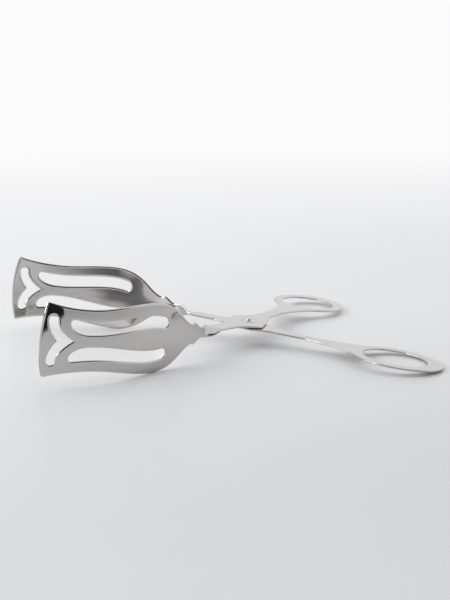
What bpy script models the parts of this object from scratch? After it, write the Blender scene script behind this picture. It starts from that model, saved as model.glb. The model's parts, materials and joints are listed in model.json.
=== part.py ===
"""Pastry tongs: two crossed halves of polished sheet steel on one rivet.

Each half is one stamping. It runs from a slotted blade that stands on edge,
through a neck twisted by a quarter turn, to a flat arm, the eye for the rivet,
a slim stem and a finger loop. The flat blank is drawn first. It is then bowed,
hollowed and twisted into shape, and given its thickness. The open tongs lie on
the lower edges of both blades and on the end of the lower half's loop.
Metres, +Z up, with the blades towards -X.
"""
from math import atan2, cos, pi, radians, sin, sqrt, tan

import bmesh
import bpy
from mathutils import Matrix, Vector

MM = 0.001

# Sheet and running clearance
SHEET = 1.2 * MM
GAP = 0.3 * MM

# Angle of each half to the long axis of the open tongs
ARM_ANGLE = radians(37.0)
HANDLE_ANGLE = radians(44.4)

# Eye round the rivet, and how far out it has run into the arm and the stem
EYE_RADIUS = 13.0 * MM
EYE_BLEND = 18.0 * MM
EYE_LEAVES_AT = radians(60)
HEEL_ANGLE = radians(118)
HEEL_REACH = 22.0 * MM
HEEL_HALF_WIDTH = 3.5 * MM
HEEL_SLOPE = -0.05

# Flat arm and twisted neck, by distance from the rivet
ARM_HALF_WIDTH = 4.8 * MM
TWIST_START = 31.0 * MM
TWIST_LENGTH = 13.0 * MM
TWIST_HALF_WIDTH = 2.9 * MM
EAR_HALF_WIDTH = 5.8 * MM
EAR_LENGTH = 1.6 * MM
EAR_TAPER = 6.0 * MM
EAR_SLOPE = 0.15
NECK_HALF_WIDTH = 5.2 * MM
NECK_SLOPE = 0.1

# Blade, measured along its bowed face from the neck
BLADE_LENGTH = 85.4 * MM
BLADE_BOW_RADIUS = 126.0 * MM
BLADE_HOLLOW_RADIUS = 113.0 * MM
BLADE_RISE = 0.1 * MM
FLARE_FROM_NECK = 10.0 * MM
FLARE_HALF_WIDTH = 11.1 * MM
FLARE_SLOPE = 0.85
SHOULDER_FROM_NECK = 28.0 * MM
SHOULDER_HALF_WIDTH = 17.7 * MM
WAIST_FROM_TIP = 25.9 * MM
WAIST_HALF_WIDTH = 14.9 * MM
TIP_HALF_WIDTH = 18.1 * MM
TIP_SLOPE = 0.3
TIP_ARC_RADIUS = 72.0 * MM
TIP_CORNER_RADIUS = 1.5 * MM

# Long slots in the blade
SLOT_FROM_NECK = 18.8 * MM
SLOT_FROM_TIP = 13.9 * MM
SLOT_RIM_AT_SHOULDER = 6.5 * MM
SLOT_RIM_AT_TIP = 5.4 * MM
SLOT_INNER_FROM_EDGE = 12.0 * MM
SLOT_NOSE = 10.5 * MM
SLOT_NOSE_ROUND = 1.6 * MM

# Forked cut-out near the tip
FORK_FROM_TIP = 3.7 * MM
FORK_HALF_SPAN = 11.9 * MM
FORK_LEG_WIDTH = 4.1 * MM
FORK_SWEEP = 4.4 * MM
FORK_CROTCH = 7.4 * MM

# Stem and finger loop, by distance from the rivet along the handle
STEM_ROOT = 5.9 * MM
STEM_ROOT_SLOPE = -0.03
STEM_WAIST = 36.0 * MM
STEM_HALF_WIDTH = 3.8 * MM
STEM_OFFSET = 0.5 * MM
LOOP_FLARE = 22.5 * MM
LOOP_FLARE_HALF_WIDTH = 10.0 * MM
LOOP_FLARE_SLOPE = 0.5
LOOP_CENTRE = 83.6 * MM
LOOP_HALF_LENGTH = 24.9 * MM
LOOP_HALF_WIDTH = 21.0 * MM
LOOP_BAND = 5.6 * MM
LOOP_END_BAND = 8.2 * MM
LOOP_JOINS_AT = radians(105)

# Rivet
SHANK_RADIUS = 2.0 * MM
HEAD_RADIUS = 3.4 * MM
HEAD_HEIGHT = 0.7 * MM
TAIL_RADIUS = 3.0 * MM
TAIL_HEIGHT = 0.8 * MM
RIM_HEIGHT = 0.3 * MM

# Fineness of the facets
TWIST_STEP = 1.1 * MM
BLADE_STEP = 5.5 * MM
ACROSS_STEPS = 3
EDGE_STEP = 2.8 * MM
TIP_SIDES = 14
ROUND_END_SIDES = 8
NOSE_SIDES = 6
NOSE_ROUND_SIDES = 4
FORK_LEG_SIDES = 5
LOOP_SIDES = 40
ROUND_SIDES = 32
DOME_RINGS = 5
FLAT_ANGLE = radians(0.1)
WELD = 0.01 * MM
TILT_ROUNDS = 6

NECK_DISTANCE = TWIST_START + TWIST_LENGTH + EAR_TAPER + EAR_LENGTH
TIP_DISTANCE = NECK_DISTANCE + BLADE_LENGTH
TIP_SAG = TIP_ARC_RADIUS - sqrt(TIP_ARC_RADIUS**2 - TIP_HALF_WIDTH**2)
SHEET_LEVEL = (SHEET + GAP) / 2
HOLE_RADIUS = SHANK_RADIUS + GAP


def ease(value):
    """Smooth step from 0 to 1."""
    value = min(max(value, 0.0), 1.0)
    return value * value * (3 - 2 * value)


def hermite(share, start, end, rise_start, rise_end):
    """Cubic between two values with the given rises at its ends."""
    square = share * share
    cube = square * share
    return (
        start * (2 * cube - 3 * square + 1)
        + rise_start * (cube - 2 * square + share)
        + end * (3 * square - 2 * cube)
        + rise_end * (cube - square)
    )


def edge_at(stations, place):
    """Height of a smooth edge through (place, height, slope) stations."""
    for (x0, y0, slope0), (x1, y1, slope1) in zip(stations, stations[1:]):
        if place <= x1:
            break
    length = x1 - x0
    return hermite((place - x0) / length, y0, y1, slope0 * length, slope1 * length)


def edge_run(stations):
    """Points along a smooth edge, with every station on one of them."""
    points = []
    for (x0, _, _), (x1, _, _) in zip(stations, stations[1:]):
        steps = max(2, round((x1 - x0) / EDGE_STEP))
        points += [x0 + (x1 - x0) * step / steps for step in range(steps)]
    points.append(stations[-1][0])
    return [(x, edge_at(stations, x)) for x in points]


def arc(centre, radius_x, radius_y, start, end, steps):
    """Points on an elliptic arc, both ends included."""
    angles = [start + (end - start) * step / steps for step in range(steps + 1)]
    return [(centre[0] + radius_x * cos(a), centre[1] + radius_y * sin(a)) for a in angles]


def blade_stations():
    """Half-width of the arm, neck and blade by distance from the rivet."""
    twist_end = TWIST_START + TWIST_LENGTH
    eye_slope = -1 / tan(EYE_LEAVES_AT)
    corner = TIP_DISTANCE - TIP_SAG
    return [
        (EYE_RADIUS * cos(EYE_LEAVES_AT), EYE_RADIUS * sin(EYE_LEAVES_AT), eye_slope),
        (EYE_BLEND, ARM_HALF_WIDTH, 0),
        (TWIST_START, ARM_HALF_WIDTH, 0),
        (twist_end, TWIST_HALF_WIDTH, 0),
        (twist_end + EAR_TAPER, EAR_HALF_WIDTH, EAR_SLOPE),
        (NECK_DISTANCE, NECK_HALF_WIDTH, NECK_SLOPE),
        (NECK_DISTANCE + FLARE_FROM_NECK, FLARE_HALF_WIDTH, FLARE_SLOPE),
        (NECK_DISTANCE + SHOULDER_FROM_NECK, SHOULDER_HALF_WIDTH, 0),
        (TIP_DISTANCE - WAIST_FROM_TIP, WAIST_HALF_WIDTH, 0),
        (corner, TIP_HALF_WIDTH, TIP_SLOPE),
    ]


def tip_points():
    """Tip of the blade: round corners and the broad arc between them."""
    half_angle = atan2(TIP_HALF_WIDTH, TIP_ARC_RADIUS - TIP_SAG)
    centre = (TIP_DISTANCE - TIP_ARC_RADIUS, 0)
    trim = half_angle - TIP_CORNER_RADIUS / TIP_ARC_RADIUS
    return arc(centre, TIP_ARC_RADIUS, TIP_ARC_RADIUS, trim, -trim, TIP_SIDES)


def strip_points():
    """Blade and arm: out along one edge, round the tip and back along the other."""
    stations = blade_stations()
    side = edge_run(stations)
    before_corner = stations[-1][0] - TIP_CORNER_RADIUS
    side = [point for point in side if point[0] < before_corner]
    side.append((before_corner, edge_at(stations, before_corner)))
    return side + tip_points() + [(s, -t) for s, t in reversed(side)]


def handle_points():
    """Stem and loop, in the handle's own axes, from its inner to its outer side."""
    join_x = LOOP_CENTRE + LOOP_HALF_LENGTH * cos(LOOP_JOINS_AT)
    join_y = LOOP_HALF_WIDTH * sin(LOOP_JOINS_AT)
    join_slope = -LOOP_HALF_WIDTH / (LOOP_HALF_LENGTH * tan(LOOP_JOINS_AT))
    flare = (LOOP_CENTRE - LOOP_FLARE, LOOP_FLARE_HALF_WIDTH, LOOP_FLARE_SLOPE)
    join = (join_x, join_y, join_slope)
    outer = [
        (EYE_RADIUS * cos(EYE_LEAVES_AT), EYE_RADIUS * sin(EYE_LEAVES_AT), -1 / tan(EYE_LEAVES_AT)),
        (EYE_BLEND, STEM_ROOT, STEM_ROOT_SLOPE),
        (STEM_WAIST, STEM_HALF_WIDTH + STEM_OFFSET, 0),
        flare,
        join,
    ]
    inner = [
        (HEEL_REACH, HEEL_HALF_WIDTH, HEEL_SLOPE),
        (STEM_WAIST, STEM_HALF_WIDTH - STEM_OFFSET, 0),
        flare,
        join,
    ]
    heel = (EYE_RADIUS * cos(HEEL_ANGLE), -EYE_RADIUS * sin(HEEL_ANGLE))
    loop = arc((LOOP_CENTRE, 0), LOOP_HALF_LENGTH, LOOP_HALF_WIDTH,
               -LOOP_JOINS_AT, LOOP_JOINS_AT, LOOP_SIDES)
    inner_side = [(x, -y) for x, y in edge_run(inner)]
    outer_side = list(reversed(edge_run(outer)))
    return [heel] + inner_side + loop[1:-1] + outer_side


def turned(points, angle):
    """Points turned about the rivet."""
    return [(x * cos(angle) - y * sin(angle), x * sin(angle) + y * cos(angle)) for x, y in points]


def slot_points():
    """One slot: a round end square to it towards the neck, a long round nose towards the tip."""
    stations = blade_stations()
    end = TIP_DISTANCE - SLOT_FROM_TIP
    start = NECK_DISTANCE + SLOT_FROM_NECK

    def outer(s):
        share = (s - start) / (end - start)
        rim = SLOT_RIM_AT_SHOULDER + share * (SLOT_RIM_AT_TIP - SLOT_RIM_AT_SHOULDER)
        return edge_at(stations, s) - rim

    def inner(s):
        return edge_at(stations, s) - SLOT_INNER_FROM_EDGE

    first = start + (SLOT_INNER_FROM_EDGE - SLOT_RIM_AT_SHOULDER) / 2
    corner = end - SLOT_NOSE_ROUND
    nose = end - SLOT_NOSE
    slope = atan2(inner(first + EDGE_STEP) - inner(first), EDGE_STEP)
    end_radius = (outer(first) - inner(first)) / 2 * cos(slope)
    middle = (outer(first) + inner(first)) / 2
    nose_height = outer(corner) - SLOT_NOSE_ROUND
    steps = round((corner - first) / EDGE_STEP)
    along = [first + (corner - first) * step / steps for step in range(1, steps + 1)]
    points = arc((first, middle), end_radius, end_radius,
                 3 * pi / 2 + slope, pi / 2 + slope, ROUND_END_SIDES)
    points += [(s, outer(s)) for s in along[:-1]]
    points += arc((corner, nose_height), SLOT_NOSE_ROUND, SLOT_NOSE_ROUND,
                  pi / 2, 0, NOSE_ROUND_SIDES)[:-1]
    points += arc((nose, nose_height), SLOT_NOSE, nose_height - inner(nose), 0, -pi / 2, NOSE_SIDES)
    points += [(s, inner(s)) for s in reversed(along) if s < nose - EDGE_STEP / 2]
    return points


def fork_points():
    """Forked cut-out: two swept legs with round ends, and a pointed crotch."""
    end_radius = FORK_LEG_WIDTH / 2
    reach = FORK_HALF_SPAN - end_radius
    tip_side = TIP_DISTANCE - FORK_FROM_TIP
    neck_side = tip_side - FORK_LEG_WIDTH

    def swept(root, end):
        shares = [step / FORK_LEG_SIDES for step in range(FORK_LEG_SIDES)]
        return [(end - (end - root) * (1 - share) ** 2, reach * share) for share in shares]

    upper = swept(tip_side - FORK_SWEEP - FORK_CROTCH, neck_side)
    lower = swept(tip_side - FORK_SWEEP, tip_side)
    cap = arc((tip_side - end_radius, reach), end_radius, end_radius, pi, 0, ROUND_END_SIDES)
    half = upper + cap + list(reversed(lower))
    return half + [(s, -t) for s, t in reversed(half[1:-1])]


def flat_blank():
    """The blank as a flat mesh, with its arm along -X."""
    bend = HANDLE_ANGLE - ARM_ANGLE
    hole = arc((LOOP_CENTRE, 0), LOOP_HALF_LENGTH - LOOP_END_BAND, LOOP_HALF_WIDTH - LOOP_BAND,
               0, 2 * pi, LOOP_SIDES)[:-1]
    strip = [(-s, t) for s, t in strip_points()]
    slot = [(-s, t) for s, t in slot_points()]
    outlines = [
        strip + turned(handle_points(), bend),
        arc((0, 0), HOLE_RADIUS, HOLE_RADIUS, 0, 2 * pi, ROUND_SIDES)[:-1],
        turned(hole, bend),
        slot,
        [(x, -y) for x, y in slot],
        [(-s, t) for s, t in fork_points()],
    ]
    curve = bpy.data.curves.new("blank_outline", "CURVE")
    curve.dimensions = "2D"
    curve.fill_mode = "BOTH"
    for outline in outlines:
        spline = curve.splines.new("POLY")
        spline.points.add(len(outline) - 1)
        for point, (x, y) in zip(spline.points, outline):
            point.co = (x, y, 0, 1)
        spline.use_cyclic_u = True
    drawn = bpy.data.objects.new("blank_outline", curve)
    bpy.context.scene.collection.objects.link(drawn)
    evaluated = drawn.evaluated_get(bpy.context.evaluated_depsgraph_get())
    mesh = bpy.data.meshes.new_from_object(evaluated)
    bpy.data.objects.remove(drawn)
    bpy.data.curves.remove(curve)
    return mesh


def cut_lines():
    """Lines across and along the strip, where the flat blank may bend."""
    across = []
    twist_steps = round(TWIST_LENGTH / TWIST_STEP)
    across += [TWIST_START + TWIST_LENGTH * step / twist_steps for step in range(twist_steps + 1)]
    across += [across[-1] + EAR_TAPER / 2, NECK_DISTANCE - EAR_LENGTH, NECK_DISTANCE]
    blade_steps = round(BLADE_LENGTH / BLADE_STEP)
    across += [NECK_DISTANCE + BLADE_LENGTH * step / blade_steps for step in range(1, blade_steps)]
    widest = max(SHOULDER_HALF_WIDTH, TIP_HALF_WIDTH)
    along = [widest * step / ACROSS_STEPS for step in range(1 - ACROSS_STEPS, ACROSS_STEPS)]
    return across, along


def form(x, y, level):
    """Where a point of the flat blank ends up in the finished half."""
    distance = -x
    beyond_neck = max(distance - NECK_DISTANCE, 0.0)
    turn = beyond_neck / BLADE_BOW_RADIUS
    straight = min(distance, NECK_DISTANCE)
    centre = Vector((-straight - BLADE_BOW_RADIUS * sin(turn), BLADE_BOW_RADIUS * (1 - cos(turn)), 0))
    raised = ease((distance - TWIST_START) / TWIST_LENGTH)
    centre.z = level + raised * (BLADE_RISE - level)
    inward = Vector((sin(turn), cos(turn), 0))
    up = Vector((0, 0, 1))
    twist = raised * pi / 2
    across = inward * cos(twist) + up * sin(twist)
    face = inward * sin(twist) - up * cos(twist)
    hollow = ease(beyond_neck / SHOULDER_FROM_NECK) / BLADE_HOLLOW_RADIUS
    if hollow == 0:
        return centre + across * y
    return centre + across * sin(hollow * y) / hollow + face * (1 - cos(hollow * y)) / hollow


def formed_half(name, side):
    """One half in the tongs' own axes: side is 1 for the upper sheet, -1 for the lower."""
    flat = flat_blank()
    mesh = bmesh.new()
    mesh.from_mesh(flat)
    bpy.data.meshes.remove(flat)
    bmesh.ops.remove_doubles(mesh, verts=mesh.verts, dist=WELD)
    bmesh.ops.dissolve_limit(mesh, angle_limit=FLAT_ANGLE, verts=mesh.verts, edges=mesh.edges)
    across, along = cut_lines()
    for distance in across:
        bmesh.ops.bisect_plane(mesh, geom=mesh.verts[:] + mesh.edges[:] + mesh.faces[:],
                               dist=WELD, plane_co=(-distance, 0, 0), plane_no=(1, 0, 0))
    for offset in along:
        blade = [face for face in mesh.faces if face.calc_center_median().x < -NECK_DISTANCE]
        around = {item for face in blade for item in (*face.verts, *face.edges)}
        bmesh.ops.bisect_plane(mesh, geom=blade + list(around),
                               dist=WELD, plane_co=(0, offset, 0), plane_no=(0, 1, 0))
    bmesh.ops.triangulate(mesh, faces=mesh.faces)
    turn = Matrix.Rotation(ARM_ANGLE, 3, "Z")
    for vertex in mesh.verts:
        vertex.co = turn @ form(vertex.co.x, vertex.co.y, side * SHEET_LEVEL)
        vertex.co.y *= side
    bmesh.ops.recalc_face_normals(mesh, faces=mesh.faces)
    sheet = bpy.data.meshes.new(name)
    mesh.to_mesh(sheet)
    mesh.free()
    sheet.shade_smooth()
    half = bpy.data.objects.new(name, sheet)
    thickness = half.modifiers.new("sheet_thickness", "SOLIDIFY")
    thickness.thickness = SHEET
    thickness.offset = 0
    return half


def dome(radius, height, rings):
    """Radius and height of points on a low dome, from its crown to its rim."""
    ball = (radius**2 + height**2) / (2 * height)
    span = atan2(radius, ball - height)
    angles = [span * ring / rings for ring in range(rings + 1)]
    return [(ball * sin(angle), ball * (cos(angle) - 1) + height) for angle in angles]


def turned_rivet(name):
    """Rivet: a domed head on the upper sheet, a shank, and a tail closed below."""
    seat = SHEET + GAP / 2 + GAP
    head = [(r, z + seat + RIM_HEIGHT) for r, z in dome(HEAD_RADIUS, HEAD_HEIGHT, DOME_RINGS)]
    tail = [(r, -z - seat - RIM_HEIGHT) for r, z in dome(TAIL_RADIUS, TAIL_HEIGHT, DOME_RINGS)]
    profile = head + [(HEAD_RADIUS, seat), (SHANK_RADIUS, seat)]
    profile += [(SHANK_RADIUS, -seat), (TAIL_RADIUS, -seat)] + list(reversed(tail))
    mesh = bpy.data.meshes.new(name)
    edges = [(index, index + 1) for index in range(len(profile) - 1)]
    mesh.from_pydata([(r, 0, z) for r, z in profile], edges, [])
    rivet = bpy.data.objects.new(name, mesh)
    turning = rivet.modifiers.new("turning", "SCREW")
    turning.steps = ROUND_SIDES
    turning.render_steps = ROUND_SIDES
    turning.use_merge_vertices = True
    turning.merge_threshold = WELD
    turning.use_smooth_shade = True
    return rivet


def steel(name, colour, roughness):
    """Polished steel for one piece."""
    material = bpy.data.materials.new(name)
    material.use_nodes = True
    shader = material.node_tree.nodes["Principled BSDF"]
    shader.inputs["Base Color"].default_value = (*colour, 1)
    shader.inputs["Metallic"].default_value = 1
    shader.inputs["Roughness"].default_value = roughness
    material.diffuse_color = (*colour, 1)
    return material


def corners(objects):
    """Every corner of the finished pieces, in the rivet's axes."""
    graph = bpy.context.evaluated_depsgraph_get()
    points = []
    for item in objects:
        evaluated = item.evaluated_get(graph)
        points += [vertex.co.copy() for vertex in evaluated.to_mesh().vertices]
        evaluated.to_mesh_clear()
    return points


def resting_tilt(points):
    """Tilt at which the blades' edges and the loop's end touch one level."""
    tilt = 0.0
    for _ in range(TILT_ROUNDS):
        turn = Matrix.Rotation(tilt, 3, "Y")
        placed = [turn @ point for point in points]
        blade = min((point for point in placed if point.x < 0), key=lambda point: point.z)
        loop = min((point for point in placed if point.x > 0), key=lambda point: point.z)
        tilt += atan2(loop.z - blade.z, loop.x - blade.x)
    return tilt


def build():
    """Model the pieces about the rivet, then lay the tongs down on the table."""
    for item in list(bpy.data.objects):
        bpy.data.objects.remove(item)
    tongs = bpy.data.collections.new("pastry_tongs")
    bpy.context.scene.collection.children.link(tongs)
    pieces = [
        (formed_half("upper_half", 1), steel("upper_steel", (0.62, 0.62, 0.61), 0.12)),
        (formed_half("lower_half", -1), steel("lower_steel", (0.58, 0.58, 0.57), 0.12)),
        (turned_rivet("rivet"), steel("rivet_steel", (0.45, 0.45, 0.45), 0.2)),
    ]
    pivot = bpy.data.objects.new("pivot", None)
    tongs.objects.link(pivot)
    for item, material in pieces:
        tongs.objects.link(item)
        item.data.materials.append(material)
        item.parent = pivot
    points = corners([item for item, _ in pieces])
    turn = Matrix.Rotation(resting_tilt(points), 3, "Y")
    placed = [turn @ point for point in points]
    middle = (min(point.x for point in placed) + max(point.x for point in placed)) / 2
    pivot.rotation_euler = turn.to_euler()
    pivot.location = (-middle, 0, -min(point.z for point in placed))


build()
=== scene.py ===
"""Looks of the pastry tongs: two crossed halves of mirror-polished sheet steel on one rivet.

Each half is laid out as a flat blank in millimetres, given rounded edges, and
then bowed, hollowed and twisted as the press does it. The blades get the fine
surface and the soft edges that a polished stamping has.
"""

import json
import logging
from abc import ABC, abstractmethod
from dataclasses import dataclass, field
from enum import Enum
from math import atan2, cos, pi, radians, sin, sqrt, tan
from typing import Any, Iterable, Sequence

import bmesh
import bpy
import numpy as np
from mathutils import Matrix, Vector

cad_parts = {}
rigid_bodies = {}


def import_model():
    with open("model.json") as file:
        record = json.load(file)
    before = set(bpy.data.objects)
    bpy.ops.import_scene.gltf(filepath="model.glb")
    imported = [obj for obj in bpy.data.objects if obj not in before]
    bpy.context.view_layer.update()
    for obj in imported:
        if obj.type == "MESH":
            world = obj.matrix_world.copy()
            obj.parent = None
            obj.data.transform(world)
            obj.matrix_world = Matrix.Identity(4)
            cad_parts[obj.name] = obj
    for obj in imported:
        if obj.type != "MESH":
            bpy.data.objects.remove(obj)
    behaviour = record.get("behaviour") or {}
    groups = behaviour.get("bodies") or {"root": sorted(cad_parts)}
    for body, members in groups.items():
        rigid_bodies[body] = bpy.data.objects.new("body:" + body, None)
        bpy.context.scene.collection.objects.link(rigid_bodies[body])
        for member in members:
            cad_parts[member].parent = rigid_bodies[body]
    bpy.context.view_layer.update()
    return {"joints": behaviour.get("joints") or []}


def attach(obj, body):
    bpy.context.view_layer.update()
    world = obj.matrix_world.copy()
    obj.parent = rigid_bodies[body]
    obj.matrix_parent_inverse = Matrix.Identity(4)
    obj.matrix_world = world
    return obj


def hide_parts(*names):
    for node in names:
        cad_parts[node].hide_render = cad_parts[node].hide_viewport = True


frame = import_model()

log = logging.getLogger("pastry_tongs")

Point = tuple[float, float]
Place = tuple[float, float, float]
Station = tuple[float, float, float]
Colour = tuple[float, float, float, float]

MM = 0.001

# Shortest that a side may get when the edge is inset, as a share of its length,
# and what is left of a corner's mitre each time that a side gets shorter
LEAST_SIDE = 0.5
MITRE_CUT = 0.9

# Half the distance, in millimetres, over which the formed sheet's slope is taken
PROBE = 0.001

# Least height of a unit normal that counts as pointing straight up
UPRIGHT = 0.9

# Settings that several nodes share
SMOOTH = {"interpolation_type": "SMOOTHSTEP"}
TIMES = {"operation": "MULTIPLY"}
COLOURS = {"data_type": "RGBA"}


class Side(Enum):
    """Which sheet a half is: the one on top at the rivet, or the one below."""

    UPPER = 1
    LOWER = -1


def smooth_step(value: np.ndarray | float) -> np.ndarray | float:
    """Smooth step from 0 to 1.

    Args:
        value: Place along the step, where 0 is its start and 1 its end.

    Returns:
        The height of the step there.
    """
    value = np.clip(value, 0.0, 1.0)
    return value * value * (3 - 2 * value)


def arc(centre: Point, radii: Point, start: float, end: float, sides: int) -> list[Point]:
    """Points on an elliptic arc.

    Args:
        centre: Middle of the ellipse.
        radii: Its half-length and half-width.
        start: First angle, in radians.
        end: Last angle, in radians.
        sides: How many straight pieces stand for the arc.

    Returns:
        The points, with both ends.
    """
    angles = [start + (end - start) * step / sides for step in range(sides + 1)]
    return [(centre[0] + radii[0] * cos(a), centre[1] + radii[1] * sin(a)) for a in angles]


def turned(points: Iterable[Point], angle: float) -> list[Point]:
    """Turn points about the rivet.

    Args:
        points: Points of the blank.
        angle: Angle in radians, counter-clockwise.

    Returns:
        The turned points.
    """
    return [(x * cos(angle) - y * sin(angle), x * sin(angle) + y * cos(angle)) for x, y in points]


def mitres(points: Sequence[Point]) -> np.ndarray:
    """Outward mitre of each corner of a closed outline.

    Args:
        points: The outline, in either direction.

    Returns:
        One vector a corner. Moving each corner by its vector moves every side
        outwards by 1.
    """
    corners = np.array(points)
    sides = np.roll(corners, -1, axis=0) - corners
    sides /= np.linalg.norm(sides, axis=1)[:, None]
    following = np.roll(corners, -1, axis=0)
    area = (corners[:, 0] * following[:, 1] - following[:, 0] * corners[:, 1]).sum()
    normals = np.sign(area) * np.stack([sides[:, 1], -sides[:, 0]], axis=1)
    joined = normals + np.roll(normals, 1, axis=0)
    return joined / (joined * normals).sum(axis=1)[:, None]


def narrowed(points: Sequence[Point], inward: np.ndarray, inset: float) -> np.ndarray:
    """Shorten the inward mitres where an outline bends too tightly for its inset.

    Args:
        points: The outline.
        inward: Mitre of each corner, pointing into the sheet.
        inset: How far the sides are to move.

    Returns:
        The mitres. Corners that they move keep their order, and so don't fold.
    """
    corners = np.array(points)
    sides = np.roll(corners, -1, axis=0) - corners
    length = (sides**2).sum(axis=1)
    share = np.ones(len(corners))
    tight = length > 0
    while tight.any():
        moved = corners + inset * share[:, None] * inward
        kept = ((np.roll(moved, -1, axis=0) - moved) * sides).sum(axis=1)
        tight = kept < LEAST_SIDE * length
        share[tight] *= MITRE_CUT
        share[np.roll(tight, 1)] *= MITRE_CUT
        blend = (np.roll(share, 1) + 2 * share + np.roll(share, -1)) / 4
        share = np.minimum(share, blend) if tight.any() else share
    return inward * share[:, None]


@dataclass(frozen=True)
class Edge:
    """A smooth edge through stations of place, height and slope."""

    stations: tuple[Station, ...]

    def at(self, place: float) -> float:
        """Height of the edge.

        Args:
            place: How far along the edge.

        Returns:
            The height there, on a cubic between the two nearest stations.
        """
        for (x0, y0, rise0), (x1, y1, rise1) in zip(self.stations, self.stations[1:]):
            if place <= x1:
                break
        length = x1 - x0
        share = (place - x0) / length
        square = share * share
        cube = square * share
        return (
            y0 * (2 * cube - 3 * square + 1)
            + rise0 * length * (cube - 2 * square + share)
            + y1 * (3 * square - 2 * cube)
            + rise1 * length * (cube - square)
        )

    def run(self, step: float) -> list[Point]:
        """Points along the edge.

        Args:
            step: Greatest distance between them.

        Returns:
            The points, with every station on one of them.
        """
        places = []
        for (x0, _, _), (x1, _, _) in zip(self.stations, self.stations[1:]):
            count = max(2, round((x1 - x0) / step))
            places += [x0 + (x1 - x0) * index / count for index in range(count)]
        places.append(self.stations[-1][0])
        return [(place, self.at(place)) for place in places]


@dataclass(frozen=True)
class EyeAndArm:
    """Sizes of the eye round the rivet, the flat arm and the twisted neck, in millimetres."""

    eye_radius: float = 13.0
    eye_blend: float = 18.0
    eye_leaves_at: float = radians(60)
    hole_radius: float = 2.3
    arm_half_width: float = 4.8
    twist_start: float = 31.0
    twist_length: float = 13.0
    twist_half_width: float = 2.9
    ear_half_width: float = 5.8
    ear_length: float = 1.6
    ear_taper: float = 6.0
    ear_slope: float = 0.15
    neck_half_width: float = 5.2
    neck_slope: float = 0.1

    @property
    def twist_end(self) -> float:
        """Distance from the rivet at which the quarter turn ends."""
        return self.twist_start + self.twist_length

    @property
    def neck(self) -> float:
        """Distance from the rivet at which the blade starts."""
        return self.twist_end + self.ear_taper + self.ear_length

    def leaving(self) -> Station:
        """Station at which an edge leaves the round eye: its place, height and slope."""
        x = self.eye_radius * cos(self.eye_leaves_at)
        y = self.eye_radius * sin(self.eye_leaves_at)
        return x, y, -1 / tan(self.eye_leaves_at)


@dataclass(frozen=True)
class Blade:
    """Sizes of the blade, in millimetres along its bowed face from the neck or the tip."""

    length: float = 85.4
    bow_radius: float = 126.0
    hollow_radius: float = 113.0
    rise: float = 0.1
    flare_from_neck: float = 10.0
    flare_half_width: float = 11.1
    flare_slope: float = 0.85
    shoulder_from_neck: float = 28.0
    shoulder_half_width: float = 17.7
    waist_from_tip: float = 25.9
    waist_half_width: float = 14.9
    tip_half_width: float = 18.1
    tip_slope: float = 0.3
    tip_arc_radius: float = 72.0
    tip_corner_radius: float = 1.5

    @property
    def tip_sag(self) -> float:
        """How far the tip's arc stands out past its corners."""
        return self.tip_arc_radius - sqrt(self.tip_arc_radius**2 - self.tip_half_width**2)


@dataclass(frozen=True)
class Slot:
    """Sizes of one long slot, in millimetres."""

    from_neck: float = 18.8
    from_tip: float = 13.9
    rim_at_shoulder: float = 6.5
    rim_at_tip: float = 5.4
    inner_from_edge: float = 12.0
    nose: float = 10.5
    nose_round: float = 1.6


@dataclass(frozen=True)
class Fork:
    """Sizes of the forked cut-out near the tip, in millimetres."""

    from_tip: float = 3.7
    half_span: float = 11.9
    leg_width: float = 4.1
    sweep: float = 4.4
    crotch: float = 7.4
    point_round: float = 0.7


@dataclass(frozen=True)
class Handle:
    """Sizes of the stem and the finger loop, in millimetres from the rivet."""

    heel_angle: float = radians(118)
    heel_reach: float = 22.0
    heel_half_width: float = 3.5
    heel_slope: float = -0.05
    root: float = 5.9
    root_slope: float = -0.03
    waist: float = 36.0
    half_width: float = 3.8
    offset: float = 0.5
    flare: float = 22.5
    flare_half_width: float = 10.0
    flare_slope: float = 0.5
    loop_centre: float = 83.6
    loop_half_length: float = 24.9
    loop_half_width: float = 21.0
    loop_band: float = 5.6
    loop_end_band: float = 8.2
    loop_joins_at: float = radians(105)


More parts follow.
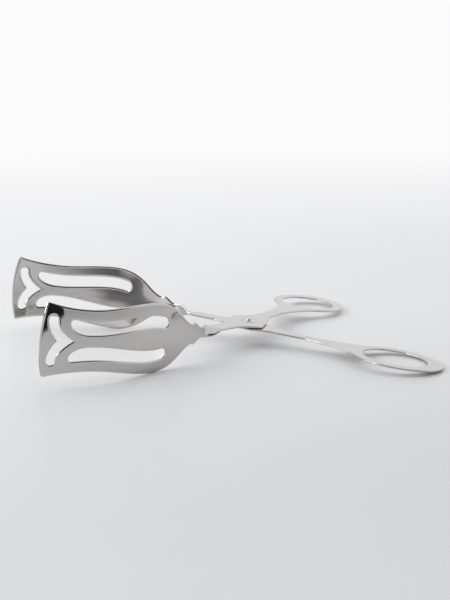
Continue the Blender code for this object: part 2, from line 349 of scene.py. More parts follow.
@dataclass(frozen=True)
class Blank:
    """The flat blank of one half, with its arm along -X, in millimetres."""

    arm: EyeAndArm = EyeAndArm()
    blade: Blade = Blade()
    slot: Slot = Slot()
    fork: Fork = Fork()
    handle: Handle = Handle()
    arm_angle: float = radians(37.0)
    handle_angle: float = radians(44.4)
    edge_step: float = 0.6
    loop_sides: int = 180
    round_sides: int = 64
    end_sides: int = 20

    @property
    def tip(self) -> float:
        """Distance from the rivet to the blade's tip."""
        return self.arm.neck + self.blade.length

    def strip_edge(self) -> Edge:
        """Half-width of the arm, neck and blade by distance from the rivet."""
        arm, blade = self.arm, self.blade
        return Edge((
            arm.leaving(),
            (arm.eye_blend, arm.arm_half_width, 0),
            (arm.twist_start, arm.arm_half_width, 0),
            (arm.twist_end, arm.twist_half_width, 0),
            (arm.twist_end + arm.ear_taper, arm.ear_half_width, arm.ear_slope),
            (arm.neck, arm.neck_half_width, arm.neck_slope),
            (arm.neck + blade.flare_from_neck, blade.flare_half_width, blade.flare_slope),
            (arm.neck + blade.shoulder_from_neck, blade.shoulder_half_width, 0),
            (self.tip - blade.waist_from_tip, blade.waist_half_width, 0),
            (self.tip - blade.tip_sag, blade.tip_half_width, blade.tip_slope),
        ))

    def strip(self) -> list[Point]:
        """Blade and arm: out along one edge, round the tip and back along the other."""
        blade = self.blade
        edge = self.strip_edge()
        last = edge.stations[-1][0] - blade.tip_corner_radius
        side = [point for point in edge.run(self.edge_step) if point[0] < last]
        side.append((last, edge.at(last)))
        half_angle = atan2(blade.tip_half_width, blade.tip_arc_radius - blade.tip_sag)
        trim = half_angle - blade.tip_corner_radius / blade.tip_arc_radius
        centre = (self.tip - blade.tip_arc_radius, 0)
        radii = (blade.tip_arc_radius, blade.tip_arc_radius)
        tip = arc(centre, radii, trim, -trim, self.round_sides)
        corner = self.rounded(side[-1], edge.at(edge.stations[-1][0]), tip[0])
        other = [(s, -t) for s, t in reversed(corner)]
        return side + corner + tip + other + [(s, -t) for s, t in reversed(side)]

    def rounded(self, before: Point, height: float, after: Point) -> list[Point]:
        """Round corner between the blade's edge and its tip.

        Args:
            before: Last point on the edge.
            height: Half-width that the edge would reach at the tip.
            after: First point on the tip.

        Returns:
            Points between the two, on a curve that bulges to the corner.
        """
        corner = (self.tip - self.blade.tip_sag, height)
        points = []
        for step in range(1, self.end_sides // 2):
            share = step / (self.end_sides // 2)
            weights = ((1 - share) ** 2, 2 * share * (1 - share), share**2)
            points.append(tuple(
                weights[0] * a + weights[1] * b + weights[2] * c
                for a, b, c in zip(before, corner, after)
            ))
        return points

    def stem_and_loop(self) -> list[Point]:
        """Stem and loop in the handle's own axes, from its inner to its outer side."""
        arm, handle = self.arm, self.handle
        join_x = handle.loop_centre + handle.loop_half_length * cos(handle.loop_joins_at)
        join_y = handle.loop_half_width * sin(handle.loop_joins_at)
        steepness = handle.loop_half_length * tan(handle.loop_joins_at)
        join = (join_x, join_y, -handle.loop_half_width / steepness)
        flare = (handle.loop_centre - handle.flare, handle.flare_half_width, handle.flare_slope)
        outer = Edge((
            arm.leaving(),
            (arm.eye_blend, handle.root, handle.root_slope),
            (handle.waist, handle.half_width + handle.offset, 0),
            flare,
            join,
        ))
        inner = Edge((
            (handle.heel_reach, handle.heel_half_width, handle.heel_slope),
            (handle.waist, handle.half_width - handle.offset, 0),
            flare,
            join,
        ))
        heel = (arm.eye_radius * cos(handle.heel_angle), -arm.eye_radius * sin(handle.heel_angle))
        radii = (handle.loop_half_length, handle.loop_half_width)
        loop = arc((handle.loop_centre, 0), radii, -handle.loop_joins_at, handle.loop_joins_at,
                   self.loop_sides)
        inner_side = [(x, -y) for x, y in inner.run(self.edge_step)]
        outer_side = list(reversed(outer.run(self.edge_step)))
        return [heel] + inner_side + loop[1:-1] + outer_side

    def long_slot(self) -> list[Point]:
        """One slot: a round end towards the neck and a long round nose towards the tip."""
        slot = self.slot
        edge = self.strip_edge()
        end = self.tip - slot.from_tip
        start = self.arm.neck + slot.from_neck
        narrowing = slot.rim_at_tip - slot.rim_at_shoulder

        def outer(place: float) -> float:
            """Height of the slot's outer side."""
            share = (place - start) / (end - start)
            return edge.at(place) - slot.rim_at_shoulder - share * narrowing

        def inner(place: float) -> float:
            """Height of the slot's inner side."""
            return edge.at(place) - slot.inner_from_edge

        first = start + (slot.inner_from_edge - slot.rim_at_shoulder) / 2
        corner = end - slot.nose_round
        nose = end - slot.nose
        slope = atan2(inner(first + slot.nose_round) - inner(first), slot.nose_round)
        radius = (outer(first) - inner(first)) / 2 * cos(slope)
        middle = (outer(first) + inner(first)) / 2
        nose_height = outer(corner) - slot.nose_round
        count = round((corner - first) / self.edge_step)
        along = [first + (corner - first) * step / count for step in range(count)]
        points = arc((first, middle), (radius, radius), 3 * pi / 2 + slope, pi / 2 + slope,
                     self.end_sides)
        points += [(s, outer(s)) for s in along]
        round_radii = (slot.nose_round, slot.nose_round)
        points += arc((corner, nose_height), round_radii, pi / 2, 0, self.end_sides // 2)[:-1]
        nose_radii = (slot.nose, nose_height - inner(nose))
        points += arc((nose, nose_height), nose_radii, 0, -pi / 2, self.end_sides)
        inner_start = points[0][0] + self.edge_step / 2
        points += [
            (s, inner(s)) for s in reversed(along) if inner_start < s < nose - self.edge_step / 2
        ]
        return points

    def forked_cut(self) -> list[Point]:
        """Forked cut-out: two swept legs with round ends, and a pointed crotch."""
        fork = self.fork
        radius = fork.leg_width / 2
        reach = fork.half_span - radius
        tip_side = self.tip - fork.from_tip
        neck_side = tip_side - fork.leg_width

        def swept(root: float, end: float) -> list[Point]:
            """One side of a leg, from the middle line to its round end."""
            shares = [step / self.end_sides for step in range(self.end_sides)]
            return [(end - (end - root) * (1 - share) ** 2, reach * share) for share in shares]

        upper = swept(tip_side - fork.sweep - fork.crotch, neck_side)
        lower = swept(tip_side - fork.sweep, tip_side)
        slant = atan2(2 * fork.sweep, reach)
        middle = (tip_side - fork.sweep + fork.point_round / cos(slant), 0)
        radii = (fork.point_round, fork.point_round)
        lower[:1] = arc(middle, radii, pi, pi / 2 + slant, self.end_sides // 4)[:-1]
        cap = arc((tip_side - radius, reach), (radius, radius), pi, 0, self.end_sides)
        half = upper + cap + list(reversed(lower))
        return half + [(s, -t) for s, t in reversed(half[1:-1])]

    def outlines(self) -> list[list[Point]]:
        """The outer outline, then the outline of each hole."""
        handle, arm = self.handle, self.arm
        bend = self.handle_angle - self.arm_angle
        hole_radii = (handle.loop_half_length - handle.loop_end_band,
                      handle.loop_half_width - handle.loop_band)
        hole = arc((handle.loop_centre, 0), hole_radii, 0, 2 * pi, self.loop_sides)[:-1]
        bore_radii = (arm.hole_radius, arm.hole_radius)
        slot = [(-s, t) for s, t in self.long_slot()]
        return [
            [(-s, t) for s, t in self.strip()] + turned(self.stem_and_loop(), bend),
            arc((0, 0), bore_radii, 0, 2 * pi, self.round_sides)[:-1],
            turned(hole, bend),
            slot,
            [(x, -y) for x, y in slot],
            [(-s, t) for s, t in self.forked_cut()],
        ]


@dataclass(frozen=True)
class Pivot:
    """The rivet's place and lean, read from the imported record's joint."""

    place: Vector
    tilt: float

    @classmethod
    def from_record(cls, joints: Sequence[dict[str, Any]]) -> "Pivot":
        """Read the pivot.

        Args:
            joints: The joints that the frame gives.

        Returns:
            The pivot, in metres and radians.
        """
        joint = joints[0]
        axis = Vector(joint["axis"])
        return cls(Vector(joint["pos_m"]), atan2(axis.x, axis.z))

    def matrix(self) -> Matrix:
        """Matrix from the tongs' own axes, in metres, to where they lie on the table."""
        return Matrix.Translation(self.place) @ Matrix.Rotation(self.tilt, 4, "Y")


def hex_colour(code: str) -> Colour:
    """Turn an sRGB hex colour to linear.

    Args:
        code: Six hex digits after a hash.

    Returns:
        Linear red, green and blue, and an alpha of 1.
    """
    parts = [int(code[place:place + 2], 16) / 255 for place in (1, 3, 5)]
    linear = [
        part / 12.92 if part <= 0.04045 else ((part + 0.055) / 1.055) ** 2.4
        for part in parts
    ]
    return (*linear, 1.0)


def add_node(tree: bpy.types.NodeTree, kind: str, settings: dict[str, Any] | None = None,
             inputs: dict[str, Any] | None = None) -> bpy.types.Node:
    """Add a node with its settings and links.

    Args:
        tree: Node tree that gets the node.
        kind: Blender's name for the node's type.
        settings: Properties of the node.
        inputs: Values for its sockets by name, or by number as text. An output
            socket is linked.

    Returns:
        The new node.
    """
    node = tree.nodes.new(kind)
    for name, value in (settings or {}).items():
        setattr(node, name, value)
    for name, value in (inputs or {}).items():
        socket = node.inputs[int(name)] if name.isdigit() else node.inputs[name]
        if isinstance(value, bpy.types.NodeSocket):
            tree.links.new(value, socket)
        else:
            socket.default_value = value
    return node


def new_material(name: str) -> tuple[bpy.types.Material, bpy.types.NodeTree, bpy.types.Node]:
    """Start a material.

    Args:
        name: Name of the material.

    Returns:
        The material, its node tree and the tree's standard shader.
    """
    material = bpy.data.materials.new(name)
    material.use_nodes = True
    return material, material.node_tree, material.node_tree.nodes["Principled BSDF"]


@dataclass(frozen=True)
class PolishedSteel:
    """Stainless steel sheet, buffed to a mirror.

    Buffing leaves a clear reflection that is only a little soft. The buff's
    patches, about 6 mm across, are slightly duller or clearer than their
    surroundings. The sheet's faint waves, about 14 mm long and 0.002 mm deep,
    bend the reflections a little.
    """

    name: str
    colour: str = "#C9C7C4"
    roughness: float = 0.05
    roughness_spread: float = 0.02
    wave_size: float = 14 * MM
    wave_depth: float = 0.002 * MM
    wave_detail: float = 1.0
    smear_size: float = 6 * MM
    smear_detail: float = 3.0
    smear_low: float = 0.3
    smear_high: float = 0.7

    def material(self) -> bpy.types.Material:
        """Make the material."""
        material, tree, shader = new_material(self.name)
        place = add_node(tree, "ShaderNodeTexCoord").outputs["Object"]
        smear = add_node(tree, "ShaderNodeTexNoise", {"noise_dimensions": "3D"}, {
            "Vector": place, "Scale": 1 / self.smear_size, "Detail": self.smear_detail})
        spread = add_node(tree, "ShaderNodeMapRange", {}, {
            "Value": smear.outputs["Fac"],
            "From Min": self.smear_low, "From Max": self.smear_high,
            "To Min": self.roughness - self.roughness_spread / 2,
            "To Max": self.roughness + self.roughness_spread / 2})
        wave = add_node(tree, "ShaderNodeTexNoise", {"noise_dimensions": "3D"}, {
            "Vector": place, "Scale": 1 / self.wave_size, "Detail": self.wave_detail})
        bump = add_node(tree, "ShaderNodeBump", {}, {
            "Height": wave.outputs["Fac"], "Strength": 1.0, "Distance": self.wave_depth})
        shader.inputs["Base Color"].default_value = hex_colour(self.colour)
        shader.inputs["Metallic"].default_value = 1.0
        tree.links.new(spread.outputs["Result"], shader.inputs["Roughness"])
        tree.links.new(bump.outputs["Normal"], shader.inputs["Normal"])
        return material


@dataclass(frozen=True)
class SheetGrid:
    """Fineness of the formed sheet and of its soft edges, in millimetres."""

    twist_step: float = 0.5
    blade_step: float = 1.5
    across_step: float = 1.5
    edge_width: float = 1.1
    edge_depth: float = 0.5
    edge_margin: float = 0.12
    round_steps: int = 6
    weld: float = 0.001
    mirror_weld: float = 0.0001
    flat_angle: float = radians(0.02)


@dataclass
class Piece(ABC):
    """One piece of the tongs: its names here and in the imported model, and the pivot."""

    name: str
    node: str
    body: str
    slot: str
    pivot: Pivot

    @abstractmethod
    def build(self) -> bpy.types.Object:
        """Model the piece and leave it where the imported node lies."""

    def dress(self, piece: bpy.types.Object, finish: PolishedSteel) -> None:
        """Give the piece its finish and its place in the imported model.

        Args:
            piece: The finished mesh.
            finish: The steel's finish.
        """
        piece.data.materials.clear()
        piece.data.materials.append(finish.material())
        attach(piece, self.body)
        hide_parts(self.node)


@dataclass
class TongsHalf(Piece):
    """One stamped half: blade, twisted neck, arm, eye, stem and finger loop."""

    side: Side
    blank: Blank = field(default_factory=Blank)
    grid: SheetGrid = field(default_factory=SheetGrid)
    sheet: float = 1.2
    gap: float = 0.3

    def build(self) -> bpy.types.Object:
        """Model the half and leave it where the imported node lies."""
        outlines = self.blank.outlines()
        inset = self.grid.edge_width + self.grid.edge_margin
        signs = [-1] + [1] * (len(outlines) - 1)
        inward = [
            narrowed(outline, sign * mitres(outline), inset)
            for outline, sign in zip(outlines, signs)
        ]
        shrunk = [np.array(outline) + inset * mitre for outline, mitre in zip(outlines, inward)]
        piece = self.flat_fill(shrunk)
        self.cut_grid(piece)
        self.round_the_edge(piece, shrunk, [-mitre for mitre in inward])
        self.close_underside(piece)
        self.press(piece)
        return piece

    def flat_fill(self, outlines: Sequence[np.ndarray]) -> bpy.types.Object:
        """Fill the outlines as one flat mesh.

        Args:
            outlines: The outer outline and the holes.

        Returns:
            The flat piece, in millimetres.
        """
        curve = bpy.data.curves.new(self.name, "CURVE")
        curve.dimensions = "2D"
        curve.fill_mode = "BOTH"
        for outline in outlines:
            spline = curve.splines.new("POLY")
            spline.points.add(len(outline) - 1)
            for point, (x, y) in zip(spline.points, outline):
                point.co = (x, y, 0, 1)
            spline.use_cyclic_u = True
        piece = bpy.data.objects.new(self.name, curve)
        bpy.context.scene.collection.objects.link(piece)
        pick(piece)
        bpy.ops.object.convert(target="MESH")
        piece = bpy.context.view_layer.objects.active
        bpy.ops.object.mode_set(mode="EDIT")
        bpy.ops.mesh.select_all(action="SELECT")
        bpy.ops.mesh.remove_doubles(threshold=self.grid.weld)
        bpy.ops.mesh.dissolve_limited(angle_limit=self.grid.flat_angle)
        bpy.ops.object.mode_set(mode="OBJECT")
        return piece

    def cut_grid(self, piece: bpy.types.Object) -> None:
        """Cut the flat piece where the press will bend it.

        Args:
            piece: The flat piece.
        """
        arm, blade, grid = self.blank.arm, self.blank.blade, self.grid
        twist_steps = round(arm.twist_length / grid.twist_step)
        blade_steps = round((self.blank.tip - arm.twist_end) / grid.blade_step)
        across = [
            arm.twist_start + arm.twist_length * step / twist_steps
            for step in range(twist_steps + 1)
        ]
        across += [
            arm.twist_end + (self.blank.tip - arm.twist_end) * step / blade_steps
            for step in range(1, blade_steps)
        ]
        widest = max(blade.shoulder_half_width, blade.tip_half_width)
        rows = int(widest / grid.across_step)
        bpy.ops.object.mode_set(mode="EDIT")
        for distance in across:
            bpy.ops.mesh.select_all(action="SELECT")
            bpy.ops.mesh.bisect(plane_co=(-distance, 0, 0), plane_no=(1, 0, 0),
                                threshold=grid.weld)
        for row in range(-rows, rows + 1):
            self.select_faces(piece, -arm.twist_start)
            bpy.ops.mesh.bisect(plane_co=(0, row * grid.across_step, 0), plane_no=(0, 1, 0),
                                threshold=grid.weld)
        bpy.ops.object.mode_set(mode="OBJECT")

    @staticmethod
    def select_faces(piece: bpy.types.Object, limit: float) -> None:
        """Select the faces that lie on the blade's side of a line.

        Args:
            piece: A piece in edit mode.
            limit: Where the line is, along X.
        """
        mesh = bmesh.from_edit_mesh(piece.data)
        for face in mesh.faces:
            face.select_set(face.calc_center_median().x < limit)
        bmesh.update_edit_mesh(piece.data)

    def round_the_edge(self, piece: bpy.types.Object, outlines: Sequence[np.ndarray],
                       outward: Sequence[np.ndarray]) -> None:
        """Extrude the rim ring by ring, so that the sheet's edge is rounded.

        Args:
            piece: The flat piece, in millimetres.
            outlines: The outlines that it was filled from.
            outward: The mitre of each of their corners, pointing off the sheet.
        """
        grid = self.grid
        starts = np.concatenate(outlines)
        ends = np.concatenate([np.roll(outline, -1, axis=0) for outline in outlines])
        first = np.concatenate(outward)
        second = np.concatenate([np.roll(mitre, -1, axis=0) for mitre in outward])
        along = ends - starts
        length = (along**2).sum(axis=1)
        half = self.sheet / 2
        turns = [pi / 2 * step / grid.round_steps for step in range(grid.round_steps + 1)]
        rings = [
            (grid.edge_margin + grid.edge_width * sin(turn),
             half - grid.edge_depth * (1 - cos(turn)))
            for turn in turns
        ]
        rings.append((grid.edge_margin + grid.edge_width, 0.0))
        bpy.ops.object.mode_set(mode="EDIT")
        bpy.ops.mesh.select_mode(type="EDGE")
        bpy.ops.mesh.select_all(action="DESELECT")
        bpy.ops.mesh.select_non_manifold(use_wire=False, use_boundary=True, use_multi_face=False,
                                         use_non_contiguous=False, use_verts=False)
        mesh = bmesh.from_edit_mesh(piece.data)
        layer = mesh.verts.layers.float_vector.new("mitre")
        root = mesh.verts.layers.float_vector.new("root")
        for vertex in mesh.verts:
            if vertex.select:
                spot = np.array(vertex.co.xy)
                share = np.clip(((spot - starts) * along).sum(axis=1) / length, 0, 1)
                off = ((starts + along * share[:, None] - spot) ** 2).sum(axis=1)
                nearest = int(off.argmin())
                part = share[nearest]
                mitre = first[nearest] * (1 - part) + second[nearest] * part
                vertex[layer] = (*mitre, 0)
                vertex[root] = vertex.co
            vertex.co.z = half
        bmesh.update_edit_mesh(piece.data)
        for outset, level in rings:
            bpy.ops.mesh.extrude_edges_move()
            mesh = bmesh.from_edit_mesh(piece.data)
            layer = mesh.verts.layers.float_vector["mitre"]
            root = mesh.verts.layers.float_vector["root"]
            for vertex in mesh.verts:
                if vertex.select:
                    vertex.co = vertex[root] + outset * vertex[layer]
                    vertex.co.z = level
            bmesh.update_edit_mesh(piece.data)
        bpy.ops.object.mode_set(mode="OBJECT")
        for name in ("mitre", "root"):
            piece.data.attributes.remove(piece.data.attributes[name])

    def close_underside(self, piece: bpy.types.Object) -> None:
        """Mirror the upper face through the middle of the sheet.

        Args:
            piece: The piece with its rounded upper edge.
        """
        pick(piece)
        mirror = piece.modifiers.new("underside", "MIRROR")
        mirror.use_axis = (False, False, True)
        mirror.merge_threshold = self.grid.mirror_weld
        bpy.ops.object.modifier_apply(modifier=mirror.name)

    def middle(self, x: np.ndarray, y: np.ndarray) -> np.ndarray:
        """Where points of the flat blank end up in the formed sheet's middle.

        Args:
            x: Places along the blank.
            y: Places across it.

        Returns:
            One row a point, in millimetres, in the half's own axes.
        """
        arm, blade = self.blank.arm, self.blank.blade
        level = self.side.value * (self.sheet + self.gap) / 2
        distance = -x
        beyond = np.maximum(distance - arm.neck, 0)
        turn = beyond / blade.bow_radius
        raised = smooth_step((distance - arm.twist_start) / arm.twist_length)
        centre = np.stack([
            -np.minimum(distance, arm.neck) - blade.bow_radius * np.sin(turn),
            blade.bow_radius * (1 - np.cos(turn)),
            level + raised * (blade.rise - level),
        ], axis=1)
        flat = np.zeros_like(x)
        inward = np.stack([np.sin(turn), np.cos(turn), flat], axis=1)
        up = np.stack([flat, flat, flat + 1], axis=1)
        twist = (raised * pi / 2)[:, None]
        across = inward * np.cos(twist) + up * np.sin(twist)
        face = inward * np.sin(twist) - up * np.cos(twist)
        bend = smooth_step(beyond / blade.shoulder_from_neck) / blade.hollow_radius * y
        reach = y * np.sinc(bend / pi)
        sag = y * np.sin(bend / 2) * np.sinc(bend / (2 * pi))
        return centre + across * reach[:, None] + face * sag[:, None]

    def press(self, piece: bpy.types.Object) -> None:
        """Bow, hollow and twist the flat piece, then lay it where the tongs lie.

        Args:
            piece: The closed flat piece, in millimetres.
        """
        mesh = piece.data
        flat = np.zeros(len(mesh.vertices) * 3)
        mesh.vertices.foreach_get("co", flat)
        flat = flat.reshape(-1, 3)
        x, y, depth = flat.T
        along = self.middle(x + PROBE, y) - self.middle(x - PROBE, y)
        across = self.middle(x, y + PROBE) - self.middle(x, y - PROBE)
        normal = np.cross(along, across)
        normal /= np.linalg.norm(normal, axis=1)[:, None]
        formed = self.middle(x, y) + normal * depth[:, None]
        angle = self.blank.arm_angle
        turn = np.array([[cos(angle), -sin(angle), 0], [sin(angle), cos(angle), 0], [0, 0, 1]])
        formed = formed @ turn.T * (1, self.side.value, 1) * MM
        mesh.vertices.foreach_set("co", formed.ravel())
        mesh.transform(self.pivot.matrix())
        mesh.update()
        bpy.ops.object.mode_set(mode="EDIT")
        bpy.ops.mesh.select_mode(type="VERT")
        bpy.ops.mesh.select_all(action="SELECT")
        bpy.ops.mesh.normals_make_consistent(inside=False)
        bpy.ops.object.mode_set(mode="OBJECT")
        bpy.ops.object.shade_smooth()
        even = piece.modifiers.new("even_shading", "WEIGHTED_NORMAL")
        even.mode = "FACE_AREA"
        bpy.ops.object.modifier_apply(modifier=even.name)


@dataclass
class Rivet(Piece):
    """The rivet: a low head with a small button in its middle, a shank, and a closed tail.

    Sizes are in millimetres.
    """

    shank_radius: float = 2.0
    head_radius: float = 3.4
    head_height: float = 0.12
    head_rim: float = 0.1
    button_foot: float = 1.5
    button_top: float = 1.1
    button_height: float = 1.0
    tail_radius: float = 3.0
    tail_height: float = 0.8
    tail_rim: float = 0.3
    seat: float = 1.41
    rim_round: float = 0.08
    rim_segments: int = 3
    sharp_from: float = radians(40)
    sides: int = 96
    rings: int = 10

    def build(self) -> bpy.types.Object:
        """Model the rivet upright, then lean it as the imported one."""
        pick(None)
        bpy.ops.mesh.primitive_cylinder_add(vertices=self.sides, radius=self.shank_radius * MM,
                                            depth=2 * self.seat * MM)
        piece = bpy.context.view_layer.objects.active
        piece.name = self.name
        bpy.ops.object.mode_set(mode="EDIT")
        head = self.dome(self.head_radius, self.head_height, self.button_foot)
        crest = self.dome(self.button_top, self.head_height, self.button_top / self.rings)
        shoulder = self.button_height - self.head_height
        head += [(r, z + shoulder) for r, z in crest]
        tail = self.dome(self.tail_radius, self.tail_height, self.tail_radius / self.rings)
        self.crown(piece, 1, self.head_rim, head)
        self.crown(piece, -1, self.tail_rim, tail)
        bpy.ops.mesh.select_all(action="SELECT")
        bpy.ops.mesh.normals_make_consistent(inside=False)
        bpy.ops.object.mode_set(mode="OBJECT")
        rounding = piece.modifiers.new("rim", "BEVEL")
        rounding.width = self.rim_round * MM
        rounding.segments = self.rim_segments
        rounding.limit_method = "ANGLE"
        rounding.angle_limit = self.sharp_from
        bpy.ops.object.modifier_apply(modifier=rounding.name)
        bpy.ops.object.shade_smooth_by_angle(angle=self.sharp_from)
        piece.data.transform(self.pivot.matrix())
        return piece

    def dome(self, radius: float, height: float, inner: float) -> list[Point]:
        """Profile of a round dome.

        Args:
            radius: Radius of its foot, in millimetres.
            height: Height that it would reach in the middle.
            inner: Radius at which the profile ends.

        Returns:
            Radius and height of each ring, from the foot inwards.
        """
        ball = (radius**2 + height**2) / (2 * height)
        radii = [radius + (inner - radius) * ring / self.rings for ring in range(self.rings + 1)]
        return [(r, sqrt(ball**2 - r**2) - ball + height) for r in radii]

    def crown(self, piece: bpy.types.Object, up: int, rim: float,
              profile: Sequence[Point]) -> None:
        """Draw a head out of one end of the shank.

        Args:
            piece: The rivet, in edit mode.
            up: 1 for the upper end, -1 for the lower.
            rim: Height of the head's upright rim, in millimetres.
            profile: Radius and height of each ring above the rim.
        """
        bpy.ops.mesh.select_mode(type="FACE")
        bpy.ops.mesh.select_all(action="DESELECT")
        mesh = bmesh.from_edit_mesh(piece.data)
        for face in mesh.faces:
            face.select_set(face.normal.z * up > UPRIGHT)
        bmesh.update_edit_mesh(piece.data)
        grow = profile[0][0] / self.shank_radius
        level = up * self.seat * MM
        bpy.ops.mesh.extrude_region_move()
        bpy.ops.transform.resize(value=(grow, grow, 1), center_override=(0, 0, level))
        bpy.ops.mesh.extrude_region_move(
            TRANSFORM_OT_translate={"value": (0, 0, up * rim * MM)})
        for (r0, z0), (r1, z1) in zip(profile, profile[1:]):
            bpy.ops.mesh.inset(thickness=(r0 - r1) * MM, depth=(z1 - z0) * MM)


def pick(piece: bpy.types.Object | None) -> None:
    """Select one object alone and make it the active one.

    Args:
        piece: The object, or None to select nothing.
    """
    for other in bpy.context.view_layer.objects:
        other.select_set(False)
    if piece is not None:
        piece.select_set(True)
    bpy.context.view_layer.objects.active = piece


@dataclass(frozen=True)
class Softbox:
    """A square lamp that points at the tongs. Places and sizes are in metres."""

    name: str
    place: Place
    size: float
    strength: float
    target: Place = (0.0, 0.0, 0.01)

    def hang(self) -> None:
        """Put up the lamp."""
        lamp = bpy.data.lights.new(self.name, "AREA")
        lamp.shape = "SQUARE"
        lamp.size = self.size
        lamp.energy = self.strength
        box = bpy.data.objects.new(self.name, lamp)
        bpy.context.scene.collection.objects.link(box)
        towards = Vector(self.target) - Vector(self.place)
        box.location = self.place
        box.rotation_euler = towards.to_track_quat("-Z", "Y").to_euler()


@dataclass(frozen=True)
class Card:
    """A card that only reflections see, and only from its front.

    Its corners, in metres, are the left and right end of its foot and then of
    its head, as seen from the front.
    """

    name: str
    corners: tuple[Place, ...]
    soft_foot: float
    colour: str = "#0A0A0A"
    roughness: float = 0.9

    def put_up(self) -> None:
        """Put the card up."""
        pick(None)
        bpy.ops.mesh.primitive_plane_add(size=1)
        card = bpy.context.view_layer.objects.active
        card.name = self.name
        for vertex, corner in zip(card.data.vertices, self.corners):
            vertex.co = corner
        card.data.update()
        card.data.materials.append(self.material())
        card.visible_camera = False
        card.visible_diffuse = False
        card.visible_transmission = False
        card.visible_shadow = False

    def material(self) -> bpy.types.Material:
        """Matt board, clear from behind and fading out at its foot."""
        material, tree, shader = new_material(self.name)
        shader.inputs["Base Color"].default_value = hex_colour(self.colour)
        shader.inputs["Roughness"].default_value = self.roughness
        behind = add_node(tree, "ShaderNodeNewGeometry").outputs["Backfacing"]
        front = add_node(tree, "ShaderNodeMath", {"operation": "SUBTRACT"}, {
            "0": 1.0, "1": behind})
        place = add_node(tree, "ShaderNodeTexCoord").outputs["UV"]
        height = add_node(tree, "ShaderNodeSeparateXYZ", {}, {"Vector": place}).outputs["Y"]
        foot = add_node(tree, "ShaderNodeMapRange", SMOOTH, {
            "Value": height, "From Min": 0.0, "From Max": self.soft_foot})
        share = add_node(tree, "ShaderNodeMath", TIMES, {
            "0": front.outputs[0], "1": foot.outputs["Result"]})
        clear = add_node(tree, "ShaderNodeBsdfTransparent")
        mixed = add_node(tree, "ShaderNodeMixShader", {}, {
            "0": share.outputs[0], "1": clear.outputs["BSDF"], "2": shader.outputs["BSDF"]})
        tree.links.new(mixed.outputs["Shader"], tree.nodes["Material Output"].inputs["Surface"])
        return material


@dataclass(frozen=True)
class Table:
    """Pale matt table top that runs back into the white backdrop.

    Its satin skin gives only a faint soft sheen. Its colour holds painted light
    and shade: it rises from a light grey in front, painted shade, to near white
    far behind, painted light, where the camera sees it fade into the backdrop.
    Places and sizes are in metres, counted along Y.
    """

    half: float = 12.0
    # Painted shade in front and painted light further back, ramped along Y
    shaded_front_colour: str = "#DFE0E2"
    lit_middle_colour: str = "#F1F2F4"
    lit_back_colour: str = "#F8F9FB"
    light_ramp_from: float = -0.22
    light_ramp_middle: float = 0.08
    light_ramp_to: float = 0.7
    fade_from: float = -0.2
    fade_to: float = 1.25
    roughness: float = 0.4
    sheen: float = 0.15

    def lay(self, backdrop: Colour) -> None:
        """Lay the table.

        Args:
            backdrop: Colour that the camera sees where the table ends.
        """
        pick(None)
        bpy.ops.mesh.primitive_plane_add(size=2 * self.half)
        table = bpy.context.view_layer.objects.active
        table.name = "table"
        material, tree, shader = new_material("matt_table")
        shader.inputs["Roughness"].default_value = self.roughness
        shader.inputs["Specular IOR Level"].default_value = self.sheen
        place = add_node(tree, "ShaderNodeTexCoord").outputs["Object"]
        depth = add_node(tree, "ShaderNodeSeparateXYZ", {}, {"Vector": place}).outputs["Y"]
        # Painted light and shade: the colour rises from the shaded front to the lit back
        colour: Colour | bpy.types.NodeSocket = hex_colour(self.shaded_front_colour)
        for start, end, tone in (
            (self.light_ramp_from, self.light_ramp_middle, self.lit_middle_colour),
            (self.light_ramp_middle, self.light_ramp_to, self.lit_back_colour),
        ):
            rise = add_node(tree, "ShaderNodeMapRange", SMOOTH, {
                "Value": depth, "From Min": start, "From Max": end})
            colour = add_node(tree, "ShaderNodeMix", COLOURS, {
                "0": rise.outputs["Result"], "6": colour, "7": hex_colour(tone)}).outputs[2]
        tree.links.new(colour, shader.inputs["Base Color"])
        fade = add_node(tree, "ShaderNodeMapRange", SMOOTH, {
            "Value": depth, "From Min": self.fade_from, "From Max": self.fade_to})
        seen = add_node(tree, "ShaderNodeLightPath").outputs["Is Camera Ray"]
        share = add_node(tree, "ShaderNodeMath", TIMES, {
            "0": fade.outputs["Result"], "1": seen})
        white = add_node(tree, "ShaderNodeEmission", {}, {"Color": backdrop})
        mixed = add_node(tree, "ShaderNodeMixShader", {}, {
            "0": share.outputs[0], "1": shader.outputs["BSDF"], "2": white.outputs["Emission"]})
        tree.links.new(mixed.outputs["Shader"], tree.nodes["Material Output"].inputs["Surface"])
        table.data.materials.append(material)


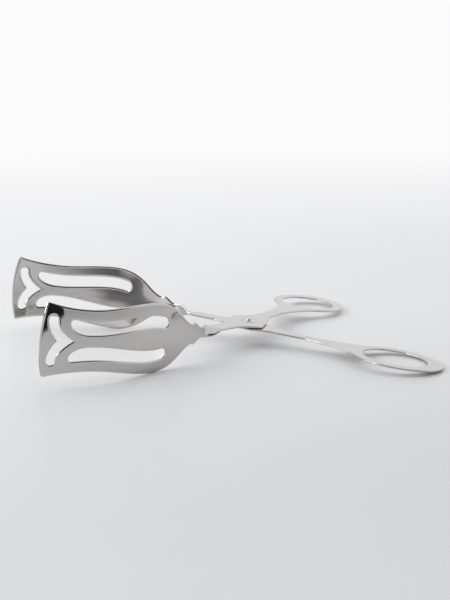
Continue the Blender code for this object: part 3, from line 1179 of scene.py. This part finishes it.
@dataclass(frozen=True)
class Tent:
    """White light tent round the table, open and dark on the camera's side.

    Its back wall is a touch brighter than the rest. The opening lies between
    two bearings, counted in radians from +X, and between a low sill and a soft
    upper end, both given as the height of a unit direction.
    """

    backdrop: str = "#FBFBFC"
    bright: float = 0.9
    dim: float = 0.88
    bright_towards: Place = (-0.2, 0.95, 0.2)
    bright_from: float = -0.3
    bright_to: float = 0.6
    dark: float = 0.04
    opening_left: float = radians(-170)
    opening_right: float = radians(-40)
    blur: float = radians(8)
    sill: float = sin(radians(4))
    sill_fade: float = sin(radians(11))
    opening_top: float = sin(radians(50))
    opening_fade: float = sin(radians(70))

    def pitch(self) -> None:
        """Set the tent up as the world."""
        world = bpy.data.worlds.new("light_tent")
        bpy.context.scene.world = world
        world.use_nodes = True
        tree = world.node_tree
        direction = add_node(tree, "ShaderNodeTexCoord").outputs["Generated"]
        rear = add_node(tree, "ShaderNodeVectorMath", {"operation": "DOT_PRODUCT"},
                        {"0": direction, "1": Vector(self.bright_towards).normalized()})
        wall = add_node(tree, "ShaderNodeMapRange", SMOOTH, {
            "Value": rear.outputs["Value"],
            "From Min": self.bright_from, "From Max": self.bright_to,
            "To Min": self.dim, "To Max": self.bright})
        parts = add_node(tree, "ShaderNodeSeparateXYZ", {}, {"Vector": direction})
        bearing = add_node(tree, "ShaderNodeMath", {"operation": "ARCTAN2"}, {
            "0": parts.outputs["Y"], "1": parts.outputs["X"]}).outputs[0]
        height = parts.outputs["Z"]
        left, right, blur = self.opening_left, self.opening_right, self.blur
        opening: float | bpy.types.NodeSocket = 1.0
        for value, start, end, outside, within in (
            (bearing, left - blur, left + blur, 0.0, 1.0),
            (bearing, right - blur, right + blur, 1.0, 0.0),
            (height, self.sill, self.sill_fade, 0.0, 1.0),
            (height, self.opening_top, self.opening_fade, 1.0, 0.0),
        ):
            border = add_node(tree, "ShaderNodeMapRange", SMOOTH, {
                "Value": value, "From Min": start, "From Max": end,
                "To Min": outside, "To Max": within})
            opening = add_node(tree, "ShaderNodeMath", TIMES, {
                "0": opening, "1": border.outputs["Result"]}).outputs[0]
        inside = add_node(tree, "ShaderNodeMix", {"data_type": "FLOAT"}, {
            "0": opening, "2": wall.outputs["Result"], "3": self.dark})
        seen = add_node(tree, "ShaderNodeLightPath").outputs["Is Camera Ray"]
        level = add_node(tree, "ShaderNodeMix", {"data_type": "FLOAT"}, {
            "0": seen, "2": inside.outputs[0], "3": 1.0})
        shown = add_node(tree, "ShaderNodeMix", COLOURS, {
            "0": seen, "6": (1, 1, 1, 1), "7": hex_colour(self.backdrop)})
        ground = tree.nodes["Background"]
        tree.links.new(shown.outputs[2], ground.inputs["Color"])
        tree.links.new(level.outputs[0], ground.inputs["Strength"])


@dataclass
class Studio:
    """Table, light tent, softboxes and cards."""

    table: Table = field(default_factory=Table)
    tent: Tent = field(default_factory=Tent)
    softboxes: tuple[Softbox, ...] = (
        Softbox("left_softbox", (-1.3, 0.15, 0.95), 1.3, 8.0),
        Softbox("edge_softbox", (-1.05, -0.42, 0.42), 0.3, 3.0),
    )
    # The near blade mirrors the black card in its dark upper corner. The grey card is painted
    # shade:
    # a grey sheet between the blades that only reflections see, standing in for the shaded
    # floor there that the far blade mirrors.
    cards: tuple[Card, ...] = (
        Card("black_card", ((-0.068, -0.135, 0.027), (-0.103, -0.128, 0.001),
                            (-0.068, -0.135, 0.12), (-0.103, -0.128, 0.12)), soft_foot=0.06),
        Card("floor_shade_card", ((-0.135, -0.095, 0.001), (-0.0903, -0.03, 0.001),
                           (-0.135, 0.0, 0.001), (-0.0903, 0.0, 0.001)),
             soft_foot=0.6, colour="#666666"),
    )

    def build(self) -> None:
        """Set up the whole studio but the camera."""
        self.table.lay(hex_colour(self.tent.backdrop))
        self.tent.pitch()
        for softbox in self.softboxes:
            softbox.hang()
        for card in self.cards:
            card.put_up()
        bpy.context.scene.view_settings.view_transform = "Standard"


@dataclass(frozen=True)
class Viewpoint:
    """The camera, as fitted to the photograph.

    Its place is in metres. Yaw is counted from +Y towards +X, pitch downwards.
    Lens and sensor are in millimetres.
    """

    place: Place = (-0.1566, -0.4943, 0.1465)
    yaw: float = radians(18.161)
    pitch: float = radians(13.247)
    roll: float = radians(1.264)
    lens: float = 59.49
    sensor: float = 36.0

    def set_up(self) -> None:
        """Put up the camera and make it the scene's own."""
        yaw, pitch, roll = self.yaw, self.pitch, self.roll
        ahead = Vector((sin(yaw) * cos(pitch), cos(yaw) * cos(pitch), -sin(pitch)))
        level = Vector((cos(yaw), -sin(yaw), 0))
        upright = level.cross(ahead)
        right = cos(roll) * level + sin(roll) * upright
        up = cos(roll) * upright - sin(roll) * level
        camera = bpy.data.objects.new("camera", bpy.data.cameras.new("camera"))
        bpy.context.scene.collection.objects.link(camera)
        turn = Matrix((right, up, -ahead)).transposed().to_4x4()
        camera.matrix_world = Matrix.Translation(self.place) @ turn
        camera.data.lens = self.lens
        camera.data.sensor_width = self.sensor
        bpy.context.scene.camera = camera


def main() -> None:
    """Build and dress every piece, then the studio round them."""
    logging.basicConfig(level=logging.INFO, format="%(name)s: %(message)s")
    pivot = Pivot.from_record(frame["joints"])
    sheet = PolishedSteel("polished_stainless_steel")
    turned_steel = PolishedSteel("polished_rivet_steel", roughness=0.08)
    pieces: tuple[tuple[Piece, PolishedSteel], ...] = (
        (TongsHalf("polished_upper_half", "upper_half", "upper", "upper_steel", pivot,
                   Side.UPPER), sheet),
        (TongsHalf("polished_lower_half", "lower_half", "lower", "lower_steel", pivot,
                   Side.LOWER), sheet),
        (Rivet("polished_rivet", "rivet", "lower", "rivet_steel", pivot), turned_steel),
    )
    for maker, finish in pieces:
        piece = maker.build()
        maker.dress(piece, finish)
        log.info("%s: %d faces", piece.name, len(piece.data.polygons))
    Studio().build()
    Viewpoint().set_up()


if __name__ == "__main__":
    main()
